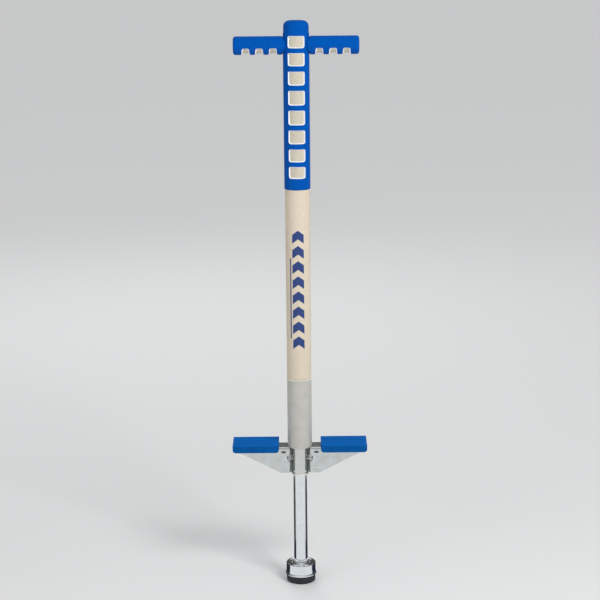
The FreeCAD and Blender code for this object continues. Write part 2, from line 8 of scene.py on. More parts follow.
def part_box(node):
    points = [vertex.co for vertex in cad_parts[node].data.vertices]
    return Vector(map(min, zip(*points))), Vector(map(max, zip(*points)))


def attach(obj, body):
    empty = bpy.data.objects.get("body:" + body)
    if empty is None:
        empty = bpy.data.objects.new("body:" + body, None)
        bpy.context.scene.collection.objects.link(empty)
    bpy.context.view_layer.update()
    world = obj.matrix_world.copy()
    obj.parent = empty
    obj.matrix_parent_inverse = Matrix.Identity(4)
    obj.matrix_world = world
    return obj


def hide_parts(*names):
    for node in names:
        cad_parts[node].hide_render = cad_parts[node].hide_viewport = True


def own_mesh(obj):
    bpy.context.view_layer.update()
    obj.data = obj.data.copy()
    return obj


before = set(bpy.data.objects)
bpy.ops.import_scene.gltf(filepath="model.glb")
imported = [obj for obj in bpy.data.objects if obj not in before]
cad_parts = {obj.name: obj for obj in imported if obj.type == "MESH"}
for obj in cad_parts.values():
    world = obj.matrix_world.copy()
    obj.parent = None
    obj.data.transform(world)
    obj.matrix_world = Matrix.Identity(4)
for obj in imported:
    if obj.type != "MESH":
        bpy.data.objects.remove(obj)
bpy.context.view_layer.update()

# A child's foam-covered pogo stick. Z runs up the stick, X along the handlebar and the foot pads,
# -Y towards the windowed front. Places and sizes come from the frame; what only the finished
# pieces show is named here.

MM = 0.001
SIDES = (("left", -1), ("right", 1))
ROUND_STEPS = 120  # facets round a turned piece
ARC_STEPS = 6  # facets in a rounded corner
CREASE = radians(32)  # an edge sharper than this stays crisp

FOAM_EDGE = 0.8 * MM  # softened edge of a foam piece
EDGE = 0.35 * MM  # broken edge of a metal or moulded piece
GAP = 0.1 * MM  # between the skins of neighbouring pieces
CLOSE_GAP = 0.05 * MM  # round a tube that passes through welded metal
TOUCHING = 1e-5  # nearer than this counts as on the same plane
MERGE = 1e-6  # corners nearer than this are one
PLUG_REACH = 0.03  # half the length of a plug that goes right through the stick
TUBE_WALL = 1.5 * MM  # of the frame tube and the sliding shaft

RUBBER_GROOVES = (8 * MM, 15 * MM)  # inner radii of the rings in the sole
RUBBER_GROOVE_WIDTH = 3 * MM
RUBBER_GROOVE_DEPTH = 1.5 * MM
CUP_RADIUS = 24 * MM
CUP_NECK = 14 * MM
CUP_RIM_DROP = 2 * MM  # from the neck's top to the rim
CUP_DISH = 1.6 * MM  # depth of the dish between rim and neck
CUP_WALL = 2 * MM
CUP_ROOF = 3 * MM  # from the rim down to the hollow that holds the rubber
CUP_WELD_LUMPS = 26

SPRING_WIRE = 1.8 * MM  # radius
SPRING_COIL = 10 * MM
SPRING_TURNS = 42
TUBE_END_ROLL = 1.7 * MM  # how far the tube's lower end is rolled in

FOAM_UNDER_SLEEVE = 17.5 * MM  # radii of the cream foam where other pieces cover it
FOAM_UNDER_COVER = 18.6 * MM
LIP_OUT = 0.9 * MM
LIP_TALL = 1.8 * MM
COVER_DOME = 9 * MM  # rounded shoulder of the domed top
COVER_WALL = 1.8 * MM
COVER_CAP_LOW = 893 * MM  # where the cover draws in below its domed top
COVER_CAP_RISE = 5 * MM
COVER_CAP_INSET = 0.8 * MM

WINDOW_COUNT = 8
WINDOW_MIDDLE = 782 * MM  # of the whole row
WINDOW_PITCH = 30.6 * MM  # at the row's middle
WINDOW_CROWDING = 0.143 * MM  # towards the row's ends
WINDOW_WIDTH = 27.8 * MM  # round the cover, at its skin
WINDOW_TALL = 23.1 * MM
WINDOW_SHRINK = 1.3 * MM  # from one window to the next, away from the middle
WINDOW_SLOPE = 0.72  # how far a window's edge runs in, for each step of depth
WINDOW_CORNER = 2.6 * MM
WINDOW_LOWER_CORNER = 3.8 * MM
SMALLEST_CORNER = 0.6 * MM

GRIP_WINDOWS = (35.8 * MM, 57 * MM, 78 * MM)
GRIP_WINDOW_WIDEST = 14.6 * MM  # straight down
GRIP_WINDOW_NARROWEST = 10.8 * MM  # at its upper edges, front and back
GRIP_WINDOW_HALF_TURN = radians(75)  # from straight down to an upper edge
GRIP_WINDOW_CORNER = 2 * MM
GRIP_WINDOW_SLOPE = 0.8
GRIP_END_ROUND = 4 * MM
GRIP_START = 16.5 * MM  # a grip's inner end on the handlebar's axis
GRIP_HOLLOW = 11.9 * MM  # radius inside the blue foam
GRIP_HOLLOW_END = 95.1 * MM
CORE_INSIDE = 9.6 * MM
CORE_OUTSIDE = 11.8 * MM
BAR_HOLE = 9.8 * MM
GRIP_INNER_ROUND = 2.5 * MM

SHEET = 1.5 * MM
BEND = 2.2 * MM  # outer radius of a fold in the brackets
BEND_STEPS = 5
BEND_RELIEF = 2 * MM  # below the upper fold, where the two folds would meet
BRACKET_INNER = 16.8 * MM
BRACKET_FOOT = 32 * MM
BRACKET_TIP = 224 * MM
FLANGE_REACH = Vector((5.3 * MM, 9.5 * MM))
SLOT_X = 26.5 * MM
SLOT_HEIGHTS = (198.5 * MM, 225 * MM)
SLOT_LENGTH = 7.4 * MM
SLOT_WIDTH = 3.3 * MM
NOTCH_LOW = 209 * MM
NOTCH_HIGH = 218.4 * MM
NOTCH_DEPTH = 4.2 * MM
WELD_LOW = NOTCH_LOW + 0.8 * MM
WELD_HIGH = NOTCH_HIGH + 0.6 * MM
WELD_ACROSS = 17.4 * MM
WELD_OUT = 14.1 * MM  # to the front and the back
WELD_RADIUS = 2.3 * MM
WELD_FLATNESS = 0.45
BEAD_RADIUS = 2 * MM
BEAD_ENDS = ((16.4 * MM, 13.4 * MM), (11.6 * MM, 9.2 * MM))  # across and out, bracket to tube

PAD_WALL = 2.5 * MM
PAD_LOWER_ROUND = 5 * MM
PAD_UPRIGHT_ROUND = 3 * MM
PAD_TOP_ROUND = 2 * MM
PAD_GROOVE_WIDTH = 2 * MM
PAD_GROOVE_DEPTH = 0.5 * MM
PAD_GROOVE_FIRST = 16.5 * MM
PAD_GROOVE_PITCH = 11 * MM
PAD_GROOVES = 4
PAD_GROOVE_MARGIN = 5 * MM
PAD_GROOVE_ROUND = 0.5 * MM

FOAM_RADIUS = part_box("stem_foam")[1].x
BAR_HEIGHT = sum(corner.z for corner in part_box("handlebar_tube")) / 2


# Shaping.

def outline(corners):
    """Points round an outline of (across, up, corner radius), with its corners rounded."""
    points = []
    count = len(corners)
    for number, (across, up, radius) in enumerate(corners):
        corner = Vector((across, up, 0))
        if not radius:
            points.append((across, up))
            continue
        back = (Vector((*corners[number - 1][:2], 0)) - corner).normalized()
        ahead = (Vector((*corners[(number + 1) % count][:2], 0)) - corner).normalized()
        half = back.angle(ahead) / 2
        centre = corner + (back + ahead).normalized() * radius / sin(half)
        start = (corner + back * radius / tan(half) - centre).normalized()
        end = (corner + ahead * radius / tan(half) - centre).normalized()
        for step in range(ARC_STEPS + 1):
            spot = centre + start.slerp(end, step / ARC_STEPS) * radius
            points.append((spot.x, spot.y))
    return points


def lathe(corners, steps=ROUND_STEPS, closed=True):
    """A piece turned round Z from its section's (radius, height, corner radius)."""
    bm = bmesh.new()
    verts = [bm.verts.new((radius, 0, height)) for radius, height in outline(corners)]
    edges = [bm.edges.new(pair) for pair in zip(verts, verts[1:])]
    if closed:
        edges.append(bm.edges.new((verts[-1], verts[0])))
    bmesh.ops.spin(bm, geom=verts + edges, cent=(0, 0, 0), axis=(0, 0, 1), dvec=(0, 0, 0),
                   angle=2 * pi, steps=steps, use_merge=True, use_duplicate=False)
    bmesh.ops.remove_doubles(bm, verts=bm.verts, dist=MERGE)
    bmesh.ops.dissolve_degenerate(bm, dist=1e-7, edges=bm.edges)
    bmesh.ops.recalc_face_normals(bm, faces=bm.faces)
    return bm


def ring(inner, outer, low, high, soft):
    """The section of a plain tube whose outer edges are softened."""
    return [(inner, low, 0), (outer, low, soft), (outer, high, soft), (inner, high, 0)]


def moved(bm, matrix):
    bmesh.ops.transform(bm, matrix=matrix, verts=bm.verts)
    if matrix.determinant() < 0:
        bmesh.ops.reverse_faces(bm, faces=bm.faces)
    return bm


def on_side(bm, side):
    """A piece made for the right, mirrored over for the left."""
    return moved(bm, Matrix.Diagonal((side, 1, 1, 1)))


def along_bar(bm):
    """A piece turned round Z, laid along the handlebar with its height running out to the right."""
    upright_to_out = Matrix.Rotation(pi / 2, 4, "Y")
    return moved(bm, Matrix.Translation((0, 0, BAR_HEIGHT)) @ upright_to_out)


def joined(parts):
    """Several meshes as one."""
    whole = bmesh.new()
    for bm in parts:
        part = bpy.data.meshes.new("part")
        bm.to_mesh(part)
        bm.free()
        whole.from_mesh(part)
        bpy.data.meshes.remove(part)
    return whole


def as_object(bm, name, materials=(None, None)):
    mesh = bpy.data.meshes.new(name)
    bm.to_mesh(mesh)
    bm.free()
    for material in materials:
        mesh.materials.append(material)
    thing = bpy.data.objects.new(name, mesh)
    bpy.context.scene.collection.objects.link(thing)
    return thing


def applied(thing):
    """The object's mesh with its modifiers applied. The object is used up."""
    evaluated = thing.evaluated_get(bpy.context.evaluated_depsgraph_get())
    bm = bmesh.new()
    bm.from_mesh(evaluated.to_mesh())
    evaluated.to_mesh_clear()
    bpy.data.objects.remove(thing)
    return bm


def cut(bm, cutter):
    """The first mesh with the second cut out of it; cut faces keep the cutter's material."""
    body, tool = as_object(bm, "body"), as_object(cutter, "tool")
    boolean = body.modifiers.new("cut", "BOOLEAN")
    boolean.object = tool
    boolean.operation = "DIFFERENCE"
    boolean.solver = "EXACT"
    result = applied(body)
    bpy.data.objects.remove(tool)
    return result


def plain_cylinder(radius, low, high):
    return lathe([(0, low, 0), (radius, low, 0), (radius, high, 0), (0, high, 0)], closed=False)


def bar_hole():
    """The plug of the hole that the handlebar's tube passes through."""
    return along_bar(plain_cylinder(BAR_HOLE, -PLUG_REACH, PLUG_REACH))


def plain_box(low, high):
    bm = bmesh.new()
    middle, extent = (Vector(low) + Vector(high)) / 2, Vector(high) - Vector(low)
    place = Matrix.Translation(middle) @ Matrix.Diagonal((*extent, 1))
    bmesh.ops.create_cube(bm, size=1, matrix=place)
    return bm


def bevelled(bm, choose, radius, segments):
    """Round the edges that choose() picks."""
    bmesh.ops.bevel(bm, geom=[edge for edge in bm.edges if choose(edge)], offset=radius,
                    offset_type="OFFSET", affect="EDGES", segments=segments, profile=0.5,
                    material=-1, clamp_overlap=True)


def rectangle(width, height, corner, lower_corner):
    """Gives a window's corners, drawn in by an inset."""
    def corners(inset):
        across, up = width / 2 - inset, height / 2 - inset
        top, bottom = (max(radius - inset, SMALLEST_CORNER) for radius in (corner, lower_corner))
        return [(-across, -up, bottom), (across, -up, bottom),
                (across, up, top), (-across, up, top)]
    return corners


def lozenge(width, widest, narrowest, corner):
    """Gives the corners of a window that narrows from its middle to both ends."""
    def corners(inset):
        across, middle, end = width / 2 - inset, widest / 2 - inset, narrowest / 2 - inset
        radius = max(corner - inset, SMALLEST_CORNER)
        return [(-across, -end, radius), (0, -middle, 0), (across, -end, radius),
                (across, end, radius), (0, middle, 0), (-across, end, radius)]
    return corners


def window_cutter(corners, slope, depth, radius):
    """A window's plug: flat, its outside at Y = 0, narrowing inwards (+Y), then bent round Z."""
    over = 0.6 * MM
    bend_step = radians(3) * radius
    bm = bmesh.new()
    loops = []
    for inward in (-over, depth + over):
        verts = [bm.verts.new((x, inward, z)) for x, z in outline(corners(slope * inward))]
        bm.faces.new(verts)
        loops += [edge for edge in bm.edges if all(vert in verts for vert in edge.verts)]
    bmesh.ops.bridge_loops(bm, edges=loops)
    reach = int(max(abs(vert.co.x) for vert in bm.verts) / bend_step) + 1
    for step in range(-reach, reach + 1):
        bmesh.ops.bisect_plane(bm, geom=bm.verts[:] + bm.edges[:] + bm.faces[:], dist=1e-7,
                               plane_co=(step * bend_step, 0, 0), plane_no=(1, 0, 0))
    for vert in bm.verts:
        turn, out = vert.co.x / radius, radius - vert.co.y
        vert.co.x, vert.co.y = out * sin(turn), -out * cos(turn)
    bmesh.ops.recalc_face_normals(bm, faces=bm.faces)
    for face in bm.faces:
        face.material_index = 1
    return bm


def painted(bm, choose):
    """Gives the faces that choose() picks, by their middle and normal, the second material."""
    bm.normal_update()
    for face in bm.faces:
        if choose(face.calc_center_median(), face.normal):
            face.material_index = 1
    return bm


def finished(name, bm, body, materials, replaces=(), crease=CREASE):
    """The mesh as a piece that rides on its body, smooth but for its crisp edges."""
    bm.normal_update()
    for face in bm.faces:
        face.smooth = True
    for edge in bm.edges:
        edge.smooth = len(edge.link_faces) == 2 and edge.calc_face_angle(0) < crease
    piece = as_object(bm, name, materials)
    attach(piece, body)
    if replaces:
        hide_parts(*replaces)
    return piece


# Materials. Each has its own noise, roughness and bump on the object's coordinates.

class Finish:
    """A material being made: its nodes, its shader and the object's coordinates."""

    def __init__(self, name, values):
        self.material = bpy.data.materials.new(name)
        self.material.use_nodes = True
        self.tree = self.material.node_tree
        self.shader = self.tree.nodes["Principled BSDF"]
        for socket, value in values.items():
            self.shader.inputs[socket].default_value = value
        self.place = self.tree.nodes.new("ShaderNodeTexCoord").outputs["Object"]

    def node(self, kind, inputs, **settings):
        made = self.tree.nodes.new(kind)
        for name, value in settings.items():
            setattr(made, name, value)
        for socket, value in inputs.items():
            if isinstance(value, bpy.types.NodeSocket):
                self.tree.links.new(value, made.inputs[socket])
            else:
                made.inputs[socket].default_value = value
        return made

    def sum(self, operation, *values):
        return self.node("ShaderNodeMath", dict(enumerate(values)), operation=operation).outputs[0]

    def stretched(self, scale):
        return self.node("ShaderNodeMapping", {"Vector": self.place, "Scale": scale}).outputs[0]

    def noise(self, size, detail=3.0, stretch=(1, 1, 1)):
        """Noise whose lumps are about this size, in metres."""
        return self.node("ShaderNodeTexNoise", {
            "Vector": self.stretched(stretch), "Scale": 1 / size, "Detail": detail,
            "Roughness": 0.55}).outputs[0]

    def cells(self, size):
        return self.node("ShaderNodeTexVoronoi", {"Vector": self.place, "Scale": 1 / size},
                         feature="F1").outputs["Distance"]

    def span(self, value, from_low, from_high, to_low, to_high):
        return self.node("ShaderNodeMapRange", {
            "Value": value, "From Min": from_low, "From Max": from_high,
            "To Min": to_low, "To Max": to_high}).outputs[0]

    def mix(self, factor, first, second):
        """Two colours mixed. The colour sockets of the node are inputs 6 and 7 and output 2."""
        inputs = {0: factor, 6: first, 7: second}
        return self.node("ShaderNodeMix", inputs, data_type="RGBA").outputs[2]

    def bump(self, height, distance, strength=1.0, under=None):
        inputs = {"Height": height, "Distance": distance, "Strength": strength}
        if under:
            inputs["Normal"] = under
        return self.node("ShaderNodeBump", inputs).outputs[0]

    def done(self, colour, roughness, normal):
        for socket, value in (("Base Color", colour), ("Roughness", roughness), ("Normal", normal)):
            self.tree.links.new(value, self.shader.inputs[socket])
        return self.material


def foam(name, colour, shade, pore=0.55 * MM, rough=(0.62, 0.8), values=None, print_on=None):
    """Closed-cell foam: a soft mottle, fine pores and a faint moulded unevenness."""
    finish = Finish(name, {"Specular IOR Level": 0.32, **(values or {})})
    mottle = finish.noise(5 * MM, detail=4)
    grain = finish.noise(0.9 * MM, detail=2)
    mixed = finish.sum("ADD", finish.sum("MULTIPLY", mottle, 0.6),
                       finish.sum("MULTIPLY", grain, 0.4))
    tone = finish.mix(finish.span(mixed, 0.36, 0.64, 0.0, 1.0), shade, colour)
    pores = finish.span(finish.cells(pore), 0.0, 0.32, 0.0, 1.0)
    tone = finish.mix(finish.span(pores, 0.0, 1.0, 0.22, 0.0), tone, shade)
    if print_on:
        tone = print_on(finish, tone)
    wavy = finish.bump(finish.noise(9 * MM, detail=2), 0.5 * MM, 0.5)
    grainy = finish.bump(grain, 0.12 * MM, 0.6, under=wavy)
    normal = finish.bump(pores, 0.07 * MM, 0.7, under=grainy)
    return finish.done(tone, finish.span(mottle, 0.3, 0.7, *rough), normal)


PRINT_LOW = 405 * MM
PRINT_HALF_WIDTH = 9.5 * MM
CHEVRON_COUNT = 8
CHEVRON_PITCH = 24.4 * MM
CHEVRON_BAND = 14 * MM
CHEVRON_RISE = 0.75
STRIPE_LOW = 415 * MM
STRIPE_HIGH = 545 * MM
STRIPE_ACROSS = -12.8 * MM
STRIPE_HALF_WIDTH = 1.1 * MM
INK = (0.005, 0.04, 0.2, 1)


def chevron_print(finish, tone):
    """A plain printed column of chevrons and a thin stripe on the front of the foam."""
    x, y, z = finish.node("ShaderNodeSeparateXYZ", {0: finish.place}).outputs
    front = finish.sum("MULTIPLY", y, -1.0)
    turn = finish.sum("ARCTAN2", x, front)
    across = finish.sum("MULTIPLY", turn, FOAM_RADIUS)
    off = finish.sum("ABSOLUTE", across)

    def between(value, low, high):
        above = finish.sum("GREATER_THAN", value, low)
        return finish.sum("MULTIPLY", above, finish.sum("LESS_THAN", value, high))

    climb = finish.sum("ADD", finish.sum("SUBTRACT", z, PRINT_LOW),
                       finish.sum("MULTIPLY", off, CHEVRON_RISE))
    within = finish.sum("MODULO", climb, CHEVRON_PITCH)
    chevrons = finish.sum("MULTIPLY", finish.sum("LESS_THAN", within, CHEVRON_BAND),
                          finish.sum("LESS_THAN", off, PRINT_HALF_WIDTH))
    chevrons = finish.sum("MULTIPLY", chevrons, between(climb, 0.0, CHEVRON_COUNT * CHEVRON_PITCH))
    beside = between(across, STRIPE_ACROSS - STRIPE_HALF_WIDTH, STRIPE_ACROSS + STRIPE_HALF_WIDTH)
    stripe = finish.sum("MULTIPLY", beside, between(z, STRIPE_LOW, STRIPE_HIGH))
    ink = finish.sum("MAXIMUM", chevrons, stripe)
    thin = finish.span(finish.noise(0.7 * MM, detail=3), 0.3, 0.62, 0.88, 1.0)
    return finish.mix(finish.sum("MULTIPLY", ink, thin), tone, INK)


def moulded(name, colour, shade, rough, scuff=0.25, values=None):
    """Moulded plastic or rubber: a fine texture, a slow change of tone and pale handling scuffs."""
    finish = Finish(name, values or {})
    slow = finish.noise(18 * MM, detail=3)
    fine = finish.noise(0.8 * MM, detail=3)
    drawn = finish.noise(1.6 * MM, detail=5, stretch=(1, 1, 0.12))
    scratches = finish.span(drawn, 0.58, 0.74, 0.0, 1.0)
    paler = tuple(min(1, 1.5 * c + 0.03) for c in colour)
    tone = finish.mix(finish.span(slow, 0.35, 0.65, 0.0, 1.0), shade, colour)
    tone = finish.mix(finish.sum("MULTIPLY", scratches, scuff), tone, paler)
    worn = finish.sum("MULTIPLY", scratches, 0.1)
    roughness = finish.sum("ADD", finish.span(slow, 0.3, 0.7, *rough), worn)
    normal = finish.bump(fine, 0.05 * MM, 0.6, under=finish.bump(slow, 0.4 * MM, 0.3))
    return finish.done(tone, roughness, normal)


def plated(name, colour, tint, rough, grain=(1, 1, 0.04), grain_size=0.5 * MM, spots=0.1,
           ripple=0.1 * MM, depth=0.02 * MM):
    """Plated steel: a drawn or brushed grain, clouds of tint, dull spots and slight ripple."""
    finish = Finish(name, {"Metallic": 1.0})
    clouds = finish.noise(14 * MM, detail=4)
    lines = finish.noise(grain_size, detail=4, stretch=grain)
    dull = finish.span(finish.noise(2.2 * MM, detail=6), 0.56, 0.7, 0.0, 1.0)
    tone = finish.mix(finish.span(clouds, 0.38, 0.62, 0.0, 1.0), colour, tint)
    darker = tuple(0.55 * c for c in tint[:3]) + (1,)
    tone = finish.mix(finish.sum("MULTIPLY", dull, spots), tone, darker)
    sheen = finish.span(finish.sum("ADD", lines, clouds), 0.7, 1.3, *rough)
    roughness = finish.sum("ADD", sheen, finish.sum("MULTIPLY", dull, 0.16))
    normal = finish.bump(lines, depth, 0.5, under=finish.bump(clouds, ripple, 0.3))
    return finish.done(tone, roughness, normal)


BLUE_FOAM = foam("blue_foam", (0, 0.093, 0.44, 1), (0, 0.078, 0.39, 1), rough=(0.5, 0.68),
                 values={"Specular IOR Level": 0.04})
CUT_FOAM = foam("white_cut_foam", (0.93, 0.95, 0.98, 1), (0.84, 0.86, 0.9, 1), pore=0.8 * MM)
# A darker copy of the cream foam: painted shade for the foam seen in the recesses of the cover's
# and the grips' windows.
CREAM_FOAM_PAINTED_SHADE = foam("cream_foam", (0.63, 0.575, 0.47, 1), (0.57, 0.515, 0.42, 1),
                  values={"Specular IOR Level": 0.15})
PRINTED_FOAM = foam("printed_cream_foam", (0.735, 0.645, 0.515, 1), (0.69, 0.6, 0.475, 1),
                    values={"Specular IOR Level": 0.15}, print_on=chevron_print)
GREY_SLEEVE = moulded("grey_sleeve", (0.545, 0.535, 0.49, 1), (0.50, 0.485, 0.44, 1), (0.36, 0.5))
SLEEVE_LIP = moulded("cream_sleeve_lip", (0.82, 0.79, 0.7, 1), (0.76, 0.73, 0.64, 1), (0.36, 0.5))
BLUE_PAD = moulded("blue_pad", (0, 0.09, 0.335, 1), (0, 0.078, 0.29, 1), (0.4, 0.55),
                   scuff=0.05, values={"Specular IOR Level": 0.05})
# A lighter copy of the pad's blue for its top faces: painted light falling from above.
BLUE_PAD_PAINTED_TOP_LIGHT = moulded("blue_pad_painted_top_light", (0, 0.125, 0.465, 1), (0, 0.108, 0.41, 1), (0.45, 0.6),
                     scuff=0.1, values={"Specular IOR Level": 0.05})
RUBBER = moulded("black_rubber", (0.026, 0.03, 0.037, 1), (0.018, 0.021, 0.026, 1), (0.45, 0.65),
                 scuff=0.3, values={"Specular IOR Level": 0.35})
BLACK_PLASTIC = moulded("black_plastic", (0.03, 0.03, 0.03, 1), (0.02, 0.02, 0.02, 1), (0.4, 0.55))
WHITE_NYLON = moulded("white_nylon", (0.78, 0.77, 0.72, 1), (0.7, 0.69, 0.62, 1), (0.3, 0.42))
ZINC = plated("zinc_plate", (0.74, 0.785, 0.78, 1), (0.70, 0.725, 0.685, 1), (0.26, 0.42),
              grain=(0.05, 1, 1), spots=0.18, ripple=0.5 * MM)
# A darker copy of the zinc plate: painted shade for the brackets' inner faces and flanges.
ZINC_PAINTED_SHADE = plated("zinc_painted_shade", (0.36, 0.4, 0.385, 1), (0.28, 0.31, 0.295, 1), (0.45, 0.6),
                   spots=0.2)
TUBE_ZINC = plated("zinc_tube", (0.72, 0.735, 0.705, 1), (0.68, 0.69, 0.655, 1), (0.15, 0.22),
                  grain_size=0.3 * MM, spots=0.03, ripple=0.02 * MM, depth=0.003 * MM)
CHROME = plated("chrome", (0.86, 0.89, 0.92, 1), (0.82, 0.85, 0.88, 1), (0.09, 0.17), spots=0.12,
                ripple=0.03 * MM, depth=0.01 * MM)
WELD = plated("weld_metal", (0.7, 0.73, 0.73, 1), (0.56, 0.58, 0.57, 1), (0.25, 0.4),
              grain=(1, 1, 1), spots=0.4)
SPRING_STEEL = plated("spring_steel", (0.3, 0.3, 0.31, 1), (0.24, 0.23, 0.23, 1), (0.3, 0.45))


# The foot and the sliding shaft.

def build_foot():
    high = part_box("foot_rubber")[1]
    cup_low, cup_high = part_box("foot_ferrule")
    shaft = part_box("piston_shaft")[1].x
    shoulder = cup_low.z - GAP
    plug = CUP_RADIUS - CUP_WALL - GAP
    rubber = [(0, 0, 0)]
    for near in RUBBER_GROOVES:
        far, deep = near + RUBBER_GROOVE_WIDTH, RUBBER_GROOVE_DEPTH
        rubber += [(near, 0, EDGE), (near, deep, EDGE), (far, deep, EDGE), (far, 0, EDGE)]
    rubber += [
        (high.x, 0, 2.5 * MM), (high.x, shoulder, 1.2 * MM), (plug, shoulder, 0),
        (plug, high.z, 1 * MM), (0, high.z, 0)]
    finished("rubber_foot", lathe(rubber, closed=False), "piston", [RUBBER],
             ["foot_rubber"])

    lip, inside, bore = cup_high.x, CUP_RADIUS - CUP_WALL, shaft + CLOSE_GAP
    rim = cup_high.z - CUP_RIM_DROP
    dish, roof = rim - CUP_DISH, rim - CUP_ROOF
    section = [
        (inside, cup_low.z, 0),
        (lip, cup_low.z, 0.5 * MM), (lip, cup_low.z + 1.5 * MM, 0.6 * MM),
        (CUP_RADIUS, cup_low.z + 3.2 * MM, 1.2 * MM), (CUP_RADIUS, rim, 0.9 * MM),
        (CUP_RADIUS - 2.4 * MM, rim, 0.9 * MM), (CUP_RADIUS - 4.4 * MM, dish, 1.5 * MM),
        (CUP_NECK + 1.2 * MM, dish, 1 * MM), (CUP_NECK - 0.8 * MM, cup_high.z, 0.8 * MM),
        (bore, cup_high.z, 0), (bore, roof, 0), (inside, roof, 1 * MM)]
    finished("chrome_foot_cup", lathe(section), "piston", [CHROME],
             ["foot_ferrule"])
    weld = weld_ring(shaft + 0.4 * MM, cup_high.z - 0.4 * MM, 0.9 * MM)
    finished("foot_cup_weld", weld, "piston", [WELD])


def weld_ring(radius, height, bead):
    """A run of overlapping weld lumps round the shaft, nowhere higher than the bead's own top."""
    tall, facets = bead * 0.8, 14
    section = [(radius + bead * cos(turn), height + tall * sin(turn), 0)
               for turn in (2 * pi * k / facets for k in range(facets))]
    bm = lathe(section, steps=9 * CUP_WELD_LUMPS)
    for vert in bm.verts:
        turn = Vector((vert.co.x, vert.co.y)).angle_signed(Vector((1, 0)))
        lump = abs(sin(turn * CUP_WELD_LUMPS / 2)) ** 0.7
        uneven = 0.12 * sin(3 * turn + 1) + 0.1 * sin(7 * turn)
        core = Vector((vert.co.x, vert.co.y, 0)).normalized() * radius + Vector((0, 0, height))
        vert.co = core + (vert.co - core) * (0.72 + 0.34 * lump + uneven)
        vert.co.z = min(vert.co.z, height + tall)
    return bm


def build_shaft():
    low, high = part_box("piston_shaft")
    bm = lathe(ring(high.x - TUBE_WALL, high.x, low.z, high.z, EDGE))
    finished("sliding_shaft", bm, "piston", [CHROME], ["piston_shaft"])


def build_spring():
    low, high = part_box("main_spring")
    steps = SPRING_TURNS * 20
    climb = (high.z - low.z - 2 * SPRING_WIRE) / steps
    start = (Matrix.Translation((SPRING_COIL, 0, low.z + SPRING_WIRE))
             @ Matrix.Rotation(pi / 2, 4, "X"))
    bm = bmesh.new()
    bmesh.ops.create_circle(bm, segments=10, radius=SPRING_WIRE, matrix=start, cap_ends=False)
    bmesh.ops.spin(bm, geom=bm.verts[:] + bm.edges[:], cent=(0, 0, 0), axis=(0, 0, 1),
                   dvec=(0, 0, climb), angle=2 * pi * SPRING_TURNS,
                   steps=steps, use_merge=False, use_duplicate=False)
    bmesh.ops.holes_fill(bm, edges=[edge for edge in bm.edges if edge.is_boundary], sides=0)
    bmesh.ops.recalc_face_normals(bm, faces=bm.faces)
    piece = finished("coil_spring", bm, "frame", [SPRING_STEEL], ["main_spring"])
    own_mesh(piece)


# The stem.

def build_tube():
    low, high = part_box("frame_tube")
    inside = high.x - TUBE_WALL
    section = [
        (inside, low.z + 1 * MM, 0.4 * MM), (high.x - TUBE_END_ROLL, low.z, 0.4 * MM),
        (high.x, low.z + 3 * MM, 3 * MM), (high.x, high.z, 0), (inside, high.z, 0)]
    finished("steel_tube", lathe(section), "frame", [TUBE_ZINC], ["frame_tube"])


def build_stem_foam():
    low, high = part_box("stem_foam")
    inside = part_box("frame_tube")[1].x + GAP
    sleeve_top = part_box("guard_sleeve")[1].z + GAP
    cover_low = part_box("stem_cover")[0].z - GAP
    section = [
        (inside, low.z, 0), (FOAM_UNDER_SLEEVE, low.z, 0), (FOAM_UNDER_SLEEVE, sleeve_top, 0),
        (high.x, sleeve_top, FOAM_EDGE), (high.x, cover_low, FOAM_EDGE),
        (FOAM_UNDER_COVER, cover_low, 0), (FOAM_UNDER_COVER, high.z, 0), (inside, high.z, 0)]
    bm = cut(lathe(section), bar_hole())
    # The foam under the cover, seen only through its windows, gets the darker cream: painted shade.
    painted(bm, lambda middle, normal: middle.z > cover_low)
    piece = finished("foam_sleeve", bm, "frame", [PRINTED_FOAM, CREAM_FOAM_PAINTED_SHADE],
                     ["stem_foam"])


def build_cover():
    low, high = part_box("stem_cover")
    outside, inside, cap = high.x, high.x - COVER_WALL, high.x - COVER_CAP_INSET
    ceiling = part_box("stem_foam")[1].z + GAP
    bm = lathe([
        (inside, low.z, 0.3 * MM), (outside, low.z, FOAM_EDGE), (outside, COVER_CAP_LOW, 2 * MM),
        (cap, COVER_CAP_LOW + COVER_CAP_RISE, 2 * MM), (cap, high.z, COVER_DOME), (0, high.z, 0),
        (0, ceiling, 0), (inside, ceiling, 0)])
    plugs = [bar_hole()]
    for number in range(WINDOW_COUNT):
        step = number - (WINDOW_COUNT - 1) / 2
        middle = Vector((0, 0, WINDOW_MIDDLE + WINDOW_PITCH * step - WINDOW_CROWDING * step ** 3))
        corners = rectangle(WINDOW_WIDTH, WINDOW_TALL - WINDOW_SHRINK * abs(step), WINDOW_CORNER,
                            WINDOW_LOWER_CORNER)
        for facing in (0, pi):
            plug = window_cutter(corners, WINDOW_SLOPE, COVER_WALL, outside)
            plugs.append(moved(plug, Matrix.Translation(middle) @ Matrix.Rotation(facing, 4, "Z")))
    bm = cut(bm, joined(plugs))
    piece = finished("domed_cover", bm, "frame", [BLUE_FOAM, CUT_FOAM], ["stem_cover"])


def build_sleeve():
    low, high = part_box("guard_sleeve")
    lip, outside = high.x, high.x - LIP_OUT
    tube_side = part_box("frame_tube")[1].x + GAP
    foam_side = FOAM_UNDER_SLEEVE + GAP
    lip_low, end_wall = high.z - LIP_TALL, low.z + 1.5 * MM
    section = [
        (tube_side, low.z, 0), (outside, low.z, 2.2 * MM), (outside, lip_low, 0.2 * MM),
        (lip, lip_low, 0.3 * MM), (lip, high.z, 0.5 * MM), (foam_side, high.z, 0.3 * MM),
        (foam_side, end_wall, 0), (tube_side, end_wall, 0)]
    bm = painted(lathe(section), lambda middle, normal: middle.z > lip_low - EDGE)
    finished("plastic_guard", bm, "frame", [GREY_SLEEVE, SLEEVE_LIP],
             ["guard_sleeve"])


# The handlebar's grips.

